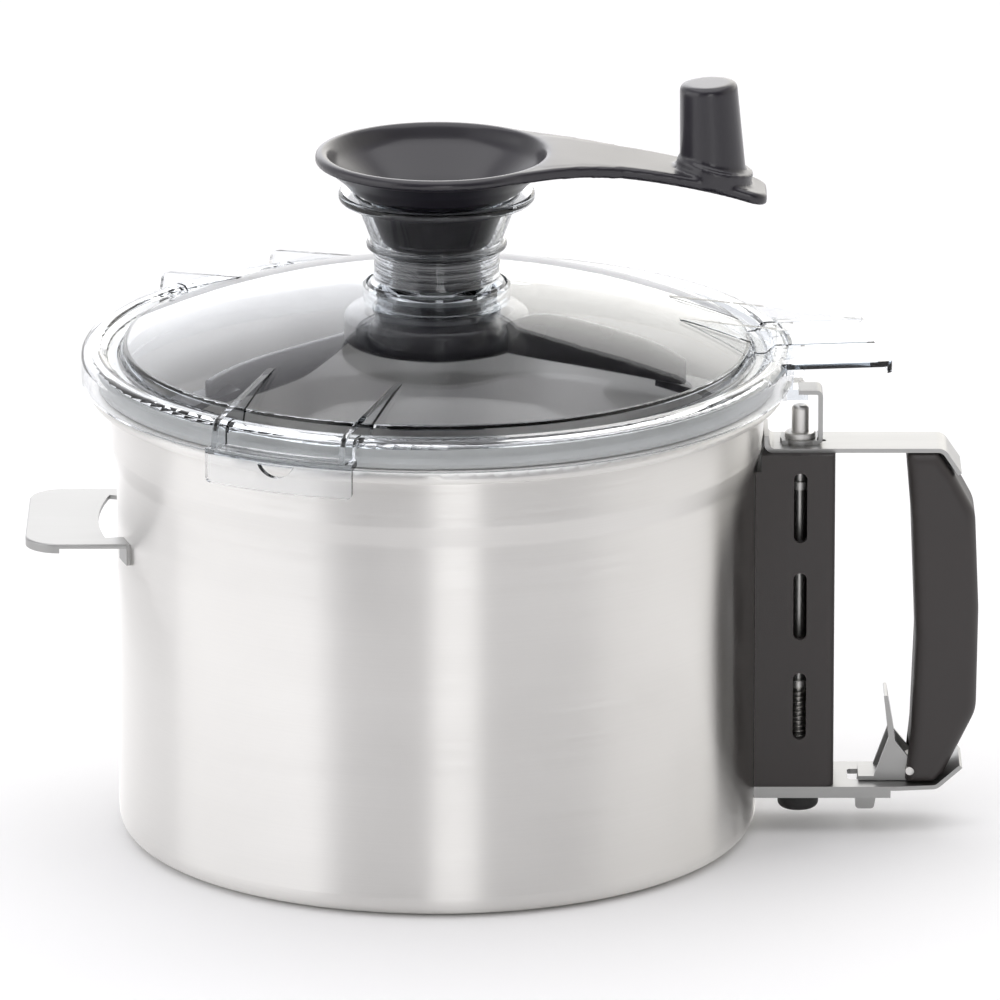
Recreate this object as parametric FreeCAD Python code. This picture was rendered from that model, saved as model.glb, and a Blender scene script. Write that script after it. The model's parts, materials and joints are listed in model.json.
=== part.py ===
import FreeCAD, Part
import math
import os

# Bowl of a vertical cutter-mixer: a spun steel bowl with a latching side handle, a clear lid that
# locks by a short turn, a hand crank that turns the wiper, and the knife that stands inside.
# Millimetres. The origin is on the bowl's axis at its base, +X towards the handle, +Z up.

# ---------------------------------------------------------------- driving dimensions: bowl
BOWL_R = 120.0              # outside radius of the bowl body
BOWL_H = 174.5              # height of the rim's top
SHEET = 1.4                 # bowl sheet
BASE_ROUND = 8.0            # outside corner between base and wall
BAND_H = 23.5               # straight upper band, from the step to the rim
STEP_H = 8.0                # height of the step below the band
STEP_OUT = 2.3              # how far the upper band stands out
BEAD_R = 2.5                # rolled rim, radius of its section
BEAD_OUT = 8.2              # rim overhang beyond the upper band
SLEEVE_BORE_R = 12.5        # bore of the centre sleeve
SLEEVE_WALL = 3.0
SLEEVE_H = 92.0
SLEEVE_FLANGE_R = 26.0
SLEEVE_FLANGE_T = 2.0

# ---------------------------------------------------------------- lug
LUG_DROP = 54.7             # lug plate's top face below the rim
LUG_T = 1.6
LUG_REACH = 33.6            # from the bowl wall to the lug's edge
LUG_HALF_W = 37.5
LUG_CORNER_R = 13.0
LUG_LIP = 3.4               # depth of the bent outer lip
LUG_SLOT_HALF_W = 27.0
LUG_SLOT_OUT = 7.0          # radial width of the slot beside the wall
LUG_FLANGE_H = 8.0

# ---------------------------------------------------------------- handle
STRAP_T = 1.6               # steel of brackets, hook and lever
STRAP_BEND = 3.0            # inside bend radius
TOP_STRAP_DROP = 25.0       # top bracket's top face below the rim
TOP_STRAP_HALF_W = 11.5
TOP_STRAP_UPSTAND = 5.0
CHANNEL_Z = 18.5            # top face of the bottom bracket
CHANNEL_HALF_W = 16.0
CHANNEL_DEPTH = 4.4
COLUMN_REACH = 29.0         # column, from the bowl wall outwards
COLUMN_HALF_W = 15.5
COLUMN_CORNER_R = 3.5
COLUMN_WALL = 2.6
COLUMN_SLOT_W = 5.0
COLUMN_SLOT_LENGTHS = (26.0, 26.0, 27.0)
COLUMN_SLOT_PLACES = (0.243, 0.545, 0.842)  # slot centres, as shares of the column's height
GRIP_GAP = 27.5             # finger gap between column and grip
GRIP_DEPTH = 27.0           # grip width along Y
GRIP_THICK = 24.0           # grip thickness at mid height
GRIP_ROUND = 4.5
GRIP_FIT = 0.1              # grip to each bracket
SCREW_R = 2.0
SCREW_LENGTH = 16.0

# ---------------------------------------------------------------- interlock
ROD_X_FROM_WALL = 16.0      # rod axis, from the bowl wall
ROD_R = 3.2
ROD_LOWER_R = 2.6
ROD_STAND = 14.0            # rod above the top bracket
ROD_TRAVEL = 4.5
ROD_FIT = 0.06              # radial running clearance of the rod
BUSH_WALL = 1.3
FOOT_R = 7.7                # plunger
FOOT_BOTTOM_Z = 6.0
MAGNET_R = 4.0
MAGNET_H = 4.5
SPRING_WIRE_R = 0.45
SPRING_PITCH = 1.9
SPRING_LENGTH = 31.0
COLLAR_DROP = 17.0          # rod collar below the column's top
COLLAR_H = 3.0
HOOK_HALF_W = 6.0
HOOK_HEIGHT = 21.0          # above the top bracket
HOOK_LIP = 7.5
LEVER_HALF_W = 8.5
LEVER_PIN_R = 1.6
LEVER_FIT = 0.06            # radial running clearance on the pin
LEVER_HEIGHT = 33.5         # blade, above the bottom bracket
LEVER_TOOTH = 12.5          # tooth, below the bottom bracket's top face

# ---------------------------------------------------------------- lid
LID_OVERHANG = 2.5          # lid skirt beyond the bowl's rim
LID_T = 2.6
LID_RIM_H = 12.0
DOME_INSET = 4.4            # dome's edge inside the bowl's mouth
LID_DOME_RISE = 27.0        # from the channel floor to the neck
LID_CLEAR = 0.6             # lid skirt above the bowl rim
LID_PLUG_DEPTH = 12.0
NECK_GAP = 2.1              # crank stem to the lid's neck
NECK_T = 2.4
NECK_SKIRT_OUT = 6.4        # skirt beyond the neck tube
COLLAR_SLEEVE_H = 15.0      # lower part of the flared collar
COLLAR_FLARE_H = 17.0
COLLAR_T = 2.6
COLLAR_FLARE_OUT = 6.8      # how far the cone widens
COLLAR_LIP_OUT = 6.25       # lip beyond the cone
COLLAR_LIP_T = 3.4
SEAL_GAP = 0.3              # soft seal to its neighbours
DOME_STEP_H = 4.6           # dome's edge above the channel's floor
TAB_RIB_T = 2.6
TAB_RIB_REACH = 43.5        # ribs, inwards from the lid's edge
TAB_RIB_END_H = 2.4         # outer top corner of a rib above the lid's rim
FRONT_TAB_DEG = 245.6       # where the tabs stand while the lid is unlocked
BACK_TAB_DEG = 127.5
HANDLE_TAB_DEG = 6.5
GUARD_SPACING = 51.5        # between the two ribs of a guard tab
GUARD_OUT = 9.0             # guard's outer face beyond the lid's edge
GUARD_T = 2.4
GUARD_DEPTH = 20.5          # guard's lower edge below the lid's rim
GUARD_SWEEP_DEG = 24.0
GUARD_CORNER_R = 2.0
GUARD_WINDOW_HALF_W = 7.0
GUARD_WINDOW_H = 4.5
HANDLE_TAB_SPACING = 32.0
HANDLE_TAB_NEAR = 43.0      # tab plate's near and far edges, from its centre line
HANDLE_TAB_FAR = 23.0
HANDLE_TAB_REACH = 18.0     # tab's tip beyond the column
HANDLE_TAB_LIP = 4.6
HANDLE_TAB_T = 2.6
LOCK_DEG = 7.0              # turn that locks the lid
FOOT_CLEAR = 0.3            # lid foot above the rod through the turn

# ---------------------------------------------------------------- crank and wiper
STEM_R = 16.5
STEM_T = 3.2
FUNNEL_R = 45.3
FUNNEL_LIP = 4.0
FUNNEL_H = 15.0             # from the collar's lip to the funnel's rim
CRANK_CLEAR = 1.0           # crank to collar, all round
ARM_REACH = 123.0
ARM_T = 4.6
ARM_NECK_W = 35.0           # where the arm leaves the funnel's rim
ARM_TIP_W = 26.0
ARM_DROOP = 14.5             # fall of the arm's top face from the rim to the tip
KNOB_X = 103.0
KNOB_R = 12.5
KNOB_TOP_R = 10.7
KNOB_H = 37.0
KNOB_LEAN_DEG = 3.0
KNOB_RING_OUT = 2.0          # ring round the knob's foot
KNOB_RING_H = 2.4
WIPER_HUB_R = 34.5
WIPER_HUB_H = 13.0
WIPER_T = 3.0
WIPER_BLADE_W = 22.0
WIPER_DISH_R = 500.0        # radius the arms are dished to
SCRAPER_GAP = 1.0           # scraper to the lid's plug ring
SCRAPER_DEG = {1: -18.5, -1: 210.5}  # where the two scrapers stand

# ---------------------------------------------------------------- knife
KNIFE_FIT = 0.4             # knife hub round the sleeve
KNIFE_HUB_WALL = 4.5
KNIFE_HUB_H = 106.0
KNIFE_BASE_GAP = 1.5
BLADE_T = 2.5
BLADE_GAP = 10.6            # lower blade's tip to the bowl wall
BLADE_LOW_Z = 10.5
BLADE_HIGH_Z = 42.0

# ---------------------------------------------------------------- worked-out places
STEP_Z = BOWL_H - BAND_H - STEP_H
LUG_Z = BOWL_H - LUG_DROP
TOP_STRAP_Z = BOWL_H - TOP_STRAP_DROP
ROD_TOP_Z = TOP_STRAP_Z + ROD_STAND
BAND_R = BOWL_R + STEP_OUT
BAND_INNER_R = BAND_R - SHEET
RIM_R = BAND_R + BEAD_OUT
LID_R = RIM_R + LID_OVERHANG
LID_DOME_R = BAND_INNER_R - DOME_INSET
NECK_R = STEM_R + NECK_GAP + NECK_T
NECK_SKIRT_R = NECK_R + NECK_SKIRT_OUT
COLLAR_CONE_R = NECK_R + COLLAR_T + COLLAR_FLARE_OUT
COLLAR_LIP_R = COLLAR_CONE_R + COLLAR_LIP_OUT
BLADE_REACH = BOWL_R - SHEET - BLADE_GAP
ROD_X = BOWL_R + ROD_X_FROM_WALL
COLUMN_X = BOWL_R + COLUMN_REACH
COLUMN_TOP_Z = TOP_STRAP_Z - STRAP_T
COLLAR_Z = COLUMN_TOP_Z - COLLAR_DROP
SPRING_LOW_Z = CHANNEL_Z + COLUMN_WALL + 2.0
SPRING_TOP_Z = SPRING_LOW_Z + SPRING_LENGTH
GRIP_X = COLUMN_X + GRIP_GAP
GRIP_OUT_X = GRIP_X + 2.0 + GRIP_THICK
CHANNEL_END_X = GRIP_X + 11.0
LEVER_PIN_X = GRIP_X + 1.3
LEVER_PIN_Z = CHANNEL_Z + 4.9
LEVER_TOOTH_X = COLUMN_X + 12.0
SCREW_X = GRIP_X + 9.0
BUSH_NECK_R = ROD_R + ROD_FIT + BUSH_WALL
BUSH_FLANGE_R = BUSH_NECK_R + 1.2
LID_Z = BOWL_H + LID_CLEAR
LID_TOP_Z = LID_Z + LID_RIM_H
CHANNEL_FLOOR_Z = LID_TOP_Z - 3.0
NECK_Z = CHANNEL_FLOOR_Z + LID_DOME_RISE
DOME_EDGE_Z = CHANNEL_FLOOR_Z + DOME_STEP_H
GUARD_R = LID_R + GUARD_OUT
COLLAR_TOP_Z = NECK_Z + COLLAR_SLEEVE_H + COLLAR_FLARE_H + COLLAR_LIP_T
FUNNEL_Z = COLLAR_TOP_Z + FUNNEL_H
HUB_TOP_Z = NECK_Z - 10.0
HUB_Z = HUB_TOP_Z - WIPER_HUB_H
SLEEVE_R = SLEEVE_BORE_R + SLEEVE_WALL
KNIFE_BORE_R = SLEEVE_R + KNIFE_FIT
KNIFE_R = KNIFE_BORE_R + KNIFE_HUB_WALL
DOME_RISE = NECK_Z - DOME_EDGE_Z
DOME_DEPTH = ((LID_DOME_R ** 2 - NECK_SKIRT_R ** 2) / DOME_RISE - DOME_RISE) / 2
DOME_SPHERE_R = math.hypot(LID_DOME_R, DOME_DEPTH)
DOME_CENTRE_Z = DOME_EDGE_Z - DOME_DEPTH
PLUG_R = BAND_INNER_R - 2.0
WIPER_R = PLUG_R - LID_T - SCRAPER_GAP

UP = FreeCAD.Vector(0, 0, 1)
ORIGIN = FreeCAD.Vector(0, 0, 0)


def vec(x, y, z):
    return FreeCAD.Vector(x, y, z)


# ---------------------------------------------------------------- shape helpers
def rounded_wire(points, radii):
    """A closed wire through points, each corner rounded by its radius; 0 leaves it sharp."""
    count = len(points)
    corners = []
    for i, point in enumerate(points):
        before = points[i - 1] - point
        after = points[(i + 1) % count] - point
        radius = radii[i]
        if radius <= 0:
            corners.append((point, None, point))
            continue
        half = before.getAngle(after) / 2
        reach = min(radius / math.tan(half), 0.49 * before.Length, 0.49 * after.Length)
        start = point + before.normalize() * reach
        end = point + after.normalize() * reach
        to_centre = (before + after).normalize()
        real = reach * math.tan(half)
        middle = point + to_centre * (real / math.sin(half) - real)
        corners.append((start, middle, end))
    edges = []
    for i, (start, middle, end) in enumerate(corners):
        if middle is not None:
            edges.append(Part.Arc(start, middle, end).toShape())
        following = corners[(i + 1) % count][0]
        if end.distanceToPoint(following) > 1e-6:
            edges.append(Part.LineSegment(end, following).toShape())
    return Part.Wire(edges)


def turned(profile, radii=None):
    """A solid of revolution about Z from (radius, height) points."""
    points = [vec(r, 0, z) for r, z in profile]
    wire = rounded_wire(points, radii or [0] * len(points))
    return Part.Face(wire).revolve(ORIGIN, UP, 360)


def side_plate(outline, half_width, radii=None):
    """An (x, z) outline made a solid, half_width to each side of Y = 0."""
    points = [vec(x, -half_width, z) for x, z in outline]
    wire = rounded_wire(points, radii or [0] * len(points))
    return Part.Face(wire).extrude(vec(0, 2 * half_width, 0))


def flat_plate(outline, z, thickness, radii=None):
    """An (x, y) outline made a plate from height z upwards."""
    points = [vec(x, y, z) for x, y in outline]
    wire = rounded_wire(points, radii or [0] * len(points))
    return Part.Face(wire).extrude(vec(0, 0, thickness))


def bent_strip(path, thickness, half_width, bend):
    """A strip bent along an (x, z) path, the material lying to the path's right."""
    points = [vec(x, 0, z) for x, z in path]
    offsets = []
    outer_radii = []
    inner_radii = []
    for i, point in enumerate(points):
        into = (point - points[i - 1]).normalize() if i > 0 else None
        out = (points[i + 1] - point).normalize() if i < len(points) - 1 else None
        first = into or out
        second = out or into
        right_a = vec(first.z, 0, -first.x)
        right_b = vec(second.z, 0, -second.x)
        middle = (right_a + right_b).normalize()
        offsets.append(point + middle * (thickness / middle.dot(right_a)))
        turn = first.z * second.x - first.x * second.z
        ends = into is None or out is None
        path_side = bend + thickness if turn > 0 else bend
        other_side = bend if turn > 0 else bend + thickness
        outer_radii.append(0 if ends else path_side)
        inner_radii.append(0 if ends else other_side)
    outline = points + offsets[::-1]
    radii = outer_radii + inner_radii[::-1]
    outline = [(p.x, p.z) for p in outline]
    return side_plate(outline, half_width, radii)


def cylinder(radius, z_low, z_high, x=0.0, y=0.0):
    return Part.makeCylinder(radius, z_high - z_low, vec(x, y, z_low))


def tube(outer, inner, z_low, z_high, x=0.0, y=0.0):
    return cylinder(outer, z_low, z_high, x, y).cut(cylinder(inner, z_low - 1, z_high + 1, x, y))


def box(x_low, x_high, y_low, y_high, z_low, z_high):
    corner = vec(x_low, y_low, z_low)
    return Part.makeBox(x_high - x_low, y_high - y_low, z_high - z_low, corner)


def turn_about_z(shape, degrees):
    return shape.copy().rotate(ORIGIN, UP, degrees)


def sector(inner, outer, z_low, z_high, start_deg, sweep_deg):
    """A piece of a ring about Z, from start_deg round by sweep_deg."""
    profile = [vec(inner, 0, z_low), vec(outer, 0, z_low), vec(outer, 0, z_high), vec(inner, 0, z_high)]
    face = Part.Face(Part.makePolygon(profile + [profile[0]]))
    return turn_about_z(face, start_deg).revolve(ORIGIN, UP, sweep_deg)


def round_edges(shape, radius, wanted):
    edges = [edge for edge in shape.Edges if wanted(edge)]
    return shape.makeFillet(radius, edges)


def is_along_y(edge):
    ends = [vertex.Point for vertex in edge.Vertexes]
    if len(ends) < 2:
        return False
    along = ends[1] - ends[0]
    return abs(along.x) < 1e-4 and abs(along.z) < 1e-4


def dome_z(radius, inside=False):
    """Height of the dome's outer or inner face at a radius from the axis."""
    sphere = DOME_SPHERE_R - (LID_T if inside else 0)
    return DOME_CENTRE_Z + math.sqrt(sphere ** 2 - radius ** 2)


# ---------------------------------------------------------------- bowl
def make_bowl_shell():
    flange_z = BOWL_H - SHEET
    bead_x = RIM_R - BEAD_R
    outer = [
        (SLEEVE_R, 0), (BOWL_R, 0), (BOWL_R, STEP_Z), (BAND_R, STEP_Z + STEP_H),
        (BAND_R, flange_z), (bead_x, flange_z), (bead_x, BOWL_H), (BAND_INNER_R, BOWL_H),
        (BAND_INNER_R, STEP_Z + STEP_H), (BOWL_R - SHEET, STEP_Z), (BOWL_R - SHEET, SHEET), (SLEEVE_R, SHEET),
    ]
    radii = [0, BASE_ROUND, 6, 4, 2.2, 0, 0, 3.4, 4, 6, BASE_ROUND - SHEET, 0]
    shell = turned(outer, radii)
    bead = Part.makeTorus(bead_x, BEAD_R, vec(0, 0, BOWL_H - BEAD_R))
    return shell.fuse(bead).removeSplitter()


def make_shaft_sleeve():
    flange_z = SHEET
    profile = [
        (SLEEVE_BORE_R, 0), (SLEEVE_R, 0), (SLEEVE_R, flange_z), (SLEEVE_FLANGE_R, flange_z),
        (SLEEVE_FLANGE_R, flange_z + SLEEVE_FLANGE_T), (SLEEVE_R, flange_z + SLEEVE_FLANGE_T),
        (SLEEVE_R, SLEEVE_H), (SLEEVE_BORE_R, SLEEVE_H),
    ]
    return turned(profile, [0, 0, 0, 0, 1.2, 0, 1.0, 0])


def make_lug():
    edge_x = -(BOWL_R + LUG_REACH)
    inner_x = -(BOWL_R - 12)
    outline = [(inner_x, -LUG_HALF_W), (edge_x, -LUG_HALF_W), (edge_x, LUG_HALF_W), (inner_x, LUG_HALF_W)]
    corners = [0, LUG_CORNER_R, LUG_CORNER_R, 0]
    plate = flat_plate(outline, LUG_Z - LUG_T, LUG_T, corners)
    lip = flat_plate(outline, LUG_Z - LUG_LIP, LUG_LIP, corners)
    shrunk = [(inner_x, -LUG_HALF_W + LUG_T), (edge_x + LUG_T, -LUG_HALF_W + LUG_T),
              (edge_x + LUG_T, LUG_HALF_W - LUG_T), (inner_x, LUG_HALF_W - LUG_T)]
    hollow = [0, LUG_CORNER_R - LUG_T, LUG_CORNER_R - LUG_T, 0]
    lip = lip.cut(flat_plate(shrunk, LUG_Z - LUG_LIP - 1, LUG_LIP + 2, hollow))
    lip = lip.common(box(edge_x - 1, edge_x + LUG_CORNER_R, -LUG_HALF_W, LUG_HALF_W, 0, BOWL_H))
    lug = plate.fuse(lip)
    lug = lug.cut(cylinder(BOWL_R, 0, BOWL_H))
    slot_deg = 2 * math.degrees(math.asin(LUG_SLOT_HALF_W / BOWL_R))
    slot = sector(BOWL_R - 2, BOWL_R + LUG_SLOT_OUT, LUG_Z - 20, LUG_Z + 5, 180 - slot_deg / 2, slot_deg)
    lug = lug.cut(slot)
    lug = lug.removeSplitter()
    lug = round_edges(lug, 0.7, lambda e: e.BoundBox.XMin < edge_x + 2 and e.BoundBox.ZMin > LUG_Z - 0.1)
    width_deg = math.degrees(math.asin(LUG_HALF_W / BOWL_R)) - slot_deg / 2
    for start in (180 - slot_deg / 2 - width_deg, 180 + slot_deg / 2):
        weld = sector(BOWL_R, BOWL_R + LUG_T, LUG_Z - LUG_FLANGE_H, LUG_Z, start, width_deg)
        lug = lug.fuse(weld)
    return lug.removeSplitter()


# ---------------------------------------------------------------- handle
def make_top_bracket():
    wall_x = BAND_R + 0.1
    end_x = GRIP_OUT_X - 7.5
    path = [
        (wall_x, TOP_STRAP_Z + TOP_STRAP_UPSTAND), (wall_x, TOP_STRAP_Z - STRAP_T),
        (end_x - 6, TOP_STRAP_Z - STRAP_T), (end_x, TOP_STRAP_Z - 10.5),
    ]
    strap = bent_strip(path[::-1], STRAP_T, TOP_STRAP_HALF_W, STRAP_BEND)
    strap = strap.cut(cylinder(BAND_R + 0.05, TOP_STRAP_Z - 10, TOP_STRAP_Z + 20))
    for radius, x in ((BUSH_NECK_R + 0.1, ROD_X), (1.5, COLUMN_X - 4.7)):
        strap = strap.cut(cylinder(radius, TOP_STRAP_Z - 5, TOP_STRAP_Z + 5, x))
    return strap


def make_bottom_bracket():
    inner_x = BOWL_R - CHANNEL_HALF_W ** 2 / BOWL_R
    curl_x = CHANNEL_END_X
    outline = [(inner_x, CHANNEL_Z), (curl_x, CHANNEL_Z), (curl_x + 9, CHANNEL_Z + 7.5)]
    strap = bent_strip(outline, STRAP_T, CHANNEL_HALF_W, STRAP_BEND)
    taper = CHANNEL_HALF_W - 3.5
    plan = [(inner_x - 5, -CHANNEL_HALF_W), (GRIP_X - 4, -CHANNEL_HALF_W), (curl_x + 12, -taper),
            (curl_x + 12, taper), (GRIP_X - 4, CHANNEL_HALF_W), (inner_x - 5, CHANNEL_HALF_W)]
    strap = strap.common(flat_plate(plan, 0, 60, [0, 6, 4, 4, 6, 0]))
    length = GRIP_X - 6 - inner_x
    for side in (-1, 1):
        y_low = side * CHANNEL_HALF_W - (STRAP_T if side > 0 else 0)
        flange = box(inner_x, inner_x + length, y_low, y_low + STRAP_T, CHANNEL_Z - CHANNEL_DEPTH, CHANNEL_Z)
        strap = strap.fuse(flange)
    strap = strap.removeSplitter()
    strap = strap.cut(cylinder(BOWL_R + 0.05, 0, 60))
    strap = strap.cut(cylinder(BUSH_NECK_R + 0.1, 0, 60, ROD_X))
    cutout = [(LEVER_TOOTH_X - 6.5, -6.5), (LEVER_TOOTH_X + 8, -6.5),
              (LEVER_TOOTH_X + 8, 6.5), (LEVER_TOOTH_X - 6.5, 6.5)]
    strap = strap.cut(flat_plate(cutout, CHANNEL_Z - 10, 20, [1.5] * 4))
    return strap.cut(cylinder(SCREW_R + 0.2, 0, 60, SCREW_X))


def make_rod_housing():
    outline = [(BOWL_R - 6, -COLUMN_HALF_W), (COLUMN_X, -COLUMN_HALF_W),
               (COLUMN_X, COLUMN_HALF_W), (BOWL_R - 6, COLUMN_HALF_W)]
    corners = [0, COLUMN_CORNER_R, COLUMN_CORNER_R, 0]
    column = flat_plate(outline, CHANNEL_Z, COLUMN_TOP_Z - CHANNEL_Z, corners)
    column = column.cut(cylinder(BOWL_R + 0.05, 0, STEP_Z))
    column = column.cut(cylinder(BAND_R + 0.05, STEP_Z - 1.5, BOWL_H))
    inner = COLUMN_HALF_W - COLUMN_WALL
    hollow = box(BOWL_R + COLUMN_WALL + 1.4, COLUMN_X - COLUMN_WALL, -inner, inner,
                 CHANNEL_Z + COLUMN_WALL, COLUMN_TOP_Z - COLUMN_WALL)
    column = column.cut(hollow)
    for place, length in zip(COLUMN_SLOT_PLACES, COLUMN_SLOT_LENGTHS):
        centre = CHANNEL_Z + place * (COLUMN_TOP_Z - CHANNEL_Z)
        slot = box(ROD_X - COLUMN_SLOT_W / 2, ROD_X + COLUMN_SLOT_W / 2, -COLUMN_HALF_W - 1, 0,
                   centre - length / 2, centre + length / 2)
        slot = round_edges(slot, COLUMN_SLOT_W / 2 - 0.1, is_along_y)
        column = column.cut(slot)
    column = column.cut(cylinder(BUSH_NECK_R + 0.1, 0, BOWL_H, ROD_X))
    peg = cylinder(1.4, COLUMN_TOP_Z - 1, COLUMN_TOP_Z + 1.2, COLUMN_X - 4.7)
    return column.fuse(peg).removeSplitter()


def make_grip():
    low = CHANNEL_Z + GRIP_FIT
    high = COLUMN_TOP_Z - GRIP_FIT
    height = high - low
    outline = [
        (GRIP_X - 1.0, high), (GRIP_OUT_X - 15, high), (GRIP_OUT_X - 9, high - 8.5),
        (GRIP_OUT_X - 1, high - 0.18 * height), (GRIP_OUT_X + 0.6, low + 0.53 * height),
        (GRIP_OUT_X, low + 0.22 * height), (GRIP_OUT_X - 12, low + 0.03 * height),
        (GRIP_OUT_X - 15.5, low), (GRIP_X - 0.5, low),
        (GRIP_X + 1.6, low + 0.16 * height), (GRIP_X + 3.0, low + 0.45 * height),
        (GRIP_X + 1.2, low + 0.8 * height),
    ]
    radii = [2, 3, 6, 14, 60, 16, 5, 3, 1.5, 8, 60, 20]
    half = GRIP_DEPTH / 2
    grip = side_plate(outline, half, radii)
    sides = [edge for edge in grip.Edges if not is_along_y(edge)]
    long_sides = [edge for edge in sides if low + 3 < edge.CenterOfMass.z < high - 3]
    grip = grip.makeFillet(GRIP_ROUND, long_sides)
    notch_half = LEVER_HALF_W + 0.5
    notch = box(GRIP_X - 4, LEVER_PIN_X + 5.0, -notch_half, notch_half, low - 1, CHANNEL_Z + 14.5)
    grip = grip.cut(notch)
    grip = grip.cut(Part.makeCylinder(LEVER_PIN_R, 60, vec(LEVER_PIN_X, -30, LEVER_PIN_Z), vec(0, 1, 0)))
    return grip.cut(cylinder(SCREW_R, 0, low + SCREW_LENGTH, SCREW_X))


def make_grip_screw():
    head_z = CHANNEL_Z - STRAP_T
    shank = cylinder(SCREW_R, head_z - 0.5, head_z + SCREW_LENGTH, SCREW_X)
    head = cylinder(4.2, head_z - 2.4, head_z, SCREW_X)
    head = round_edges(head, 1.2, lambda e: e.BoundBox.ZMax < head_z - 1)
    socket = cylinder(1.5, head_z - 3, head_z - 1, SCREW_X)
    return head.fuse(shank).cut(socket).removeSplitter()


# ---------------------------------------------------------------- interlock
def make_guide_bush():
    """Top bush: its flange clamps the hook's base on the bracket."""
    low = COLUMN_TOP_Z - COLUMN_WALL - 4.0
    top = TOP_STRAP_Z + STRAP_T + 2.0
    bush = cylinder(BUSH_NECK_R, low, top, ROD_X)
    flange = cylinder(BUSH_FLANGE_R, TOP_STRAP_Z + STRAP_T, top, ROD_X)
    flange = round_edges(flange, 0.6, lambda e: e.BoundBox.ZMin > top - 0.1)
    bush = bush.fuse(flange)
    return bush.cut(cylinder(ROD_R + ROD_FIT, low - 1, top + 1, ROD_X)).removeSplitter()


def make_bush_nut():
    """Nut inside the column that holds the top bush."""
    top = COLUMN_TOP_Z - COLUMN_WALL
    reach = BUSH_NECK_R + 3.0
    angles = [math.radians(60 * i) for i in range(6)]
    corners = [(ROD_X + reach * math.cos(angle), reach * math.sin(angle)) for angle in angles]
    nut = flat_plate(corners, top - 3.5, 3.5)
    return nut.cut(cylinder(BUSH_NECK_R, 0, BOWL_H, ROD_X))


def make_lower_bush():
    low = CHANNEL_Z - STRAP_T + 0.1
    floor = CHANNEL_Z + COLUMN_WALL
    bush = cylinder(BUSH_NECK_R, low, floor + 2.0, ROD_X)
    bush = bush.fuse(cylinder(BUSH_FLANGE_R, floor, floor + 2.0, ROD_X))
    return bush.cut(cylinder(ROD_LOWER_R + ROD_FIT, 0, 60, ROD_X)).removeSplitter()


def make_lid_hook():
    base = TOP_STRAP_Z
    upright_x = ROD_X + BUSH_FLANGE_R + STRAP_T + 1.0
    top = base + HOOK_HEIGHT
    path = [
        (upright_x - HOOK_LIP - STRAP_T, top), (upright_x, top), (upright_x, base),
        (ROD_X - 7.0, base),
    ]
    hook = bent_strip(path, STRAP_T, HOOK_HALF_W, 0.8)
    base_wing = tube(BUSH_FLANGE_R + 1.8, BUSH_NECK_R + 0.1, base, base + STRAP_T, ROD_X)
    hook = hook.fuse(base_wing).cut(cylinder(BUSH_NECK_R + 0.1, base - 1, base + 3, ROD_X))
    return hook.removeSplitter()


def make_interlock_rod():
    step_z = COLLAR_Z
    foot_top = CHANNEL_Z - STRAP_T - 0.5
    upper = cylinder(ROD_R, step_z, ROD_TOP_Z, ROD_X)
    upper = round_edges(upper, 1.6, lambda e: e.BoundBox.ZMin > ROD_TOP_Z - 0.1)
    lower = cylinder(ROD_LOWER_R, foot_top - 4, step_z, ROD_X)
    return upper.fuse(lower).removeSplitter()


def make_rod_collar():
    return tube(ROD_R + 1.6, ROD_R, COLLAR_Z + 0.5, COLLAR_Z + 0.5 + COLLAR_H, ROD_X)


def make_spring_seat():
    return tube(ROD_LOWER_R + 2.4, ROD_LOWER_R, SPRING_TOP_Z, SPRING_TOP_Z + 2.5, ROD_X)


def make_rod_foot():
    top = CHANNEL_Z - STRAP_T - 0.5
    foot = cylinder(FOOT_R, FOOT_BOTTOM_Z, top, ROD_X)
    foot = round_edges(foot, 2.4, lambda e: e.BoundBox.ZMax < FOOT_BOTTOM_Z + 0.1)
    foot = foot.cut(cylinder(ROD_LOWER_R, top - 4, top + 1, ROD_X))
    return foot.cut(cylinder(MAGNET_R, FOOT_BOTTOM_Z + 0.9, FOOT_BOTTOM_Z + 0.9 + MAGNET_H, ROD_X))


def make_magnet():
    return cylinder(MAGNET_R, FOOT_BOTTOM_Z + 0.9, FOOT_BOTTOM_Z + 0.9 + MAGNET_H, ROD_X)


def coil(radius, wire_r, pitch, height, place, axis):
    """A round-wire helical spring that starts at place and runs along axis."""
    helix = Part.makeHelix(pitch, height, radius)
    start = vec(radius, 0, 0)
    tangent = vec(0, 2 * math.pi * radius, pitch)
    section = Part.Wire(Part.Circle(start, tangent, wire_r).toShape())
    spring = Part.Wire(helix.Edges).makePipeShell([section], True, True)
    spring.Placement = FreeCAD.Placement(place, FreeCAD.Rotation(UP, axis))
    return spring


def make_return_spring():
    low = SPRING_LOW_Z + SPRING_WIRE_R + 0.05
    high = SPRING_TOP_Z - SPRING_WIRE_R - 0.05
    return coil(ROD_LOWER_R + 1.0, SPRING_WIRE_R, SPRING_PITCH, high - low, vec(ROD_X, 0, low), UP)


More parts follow.
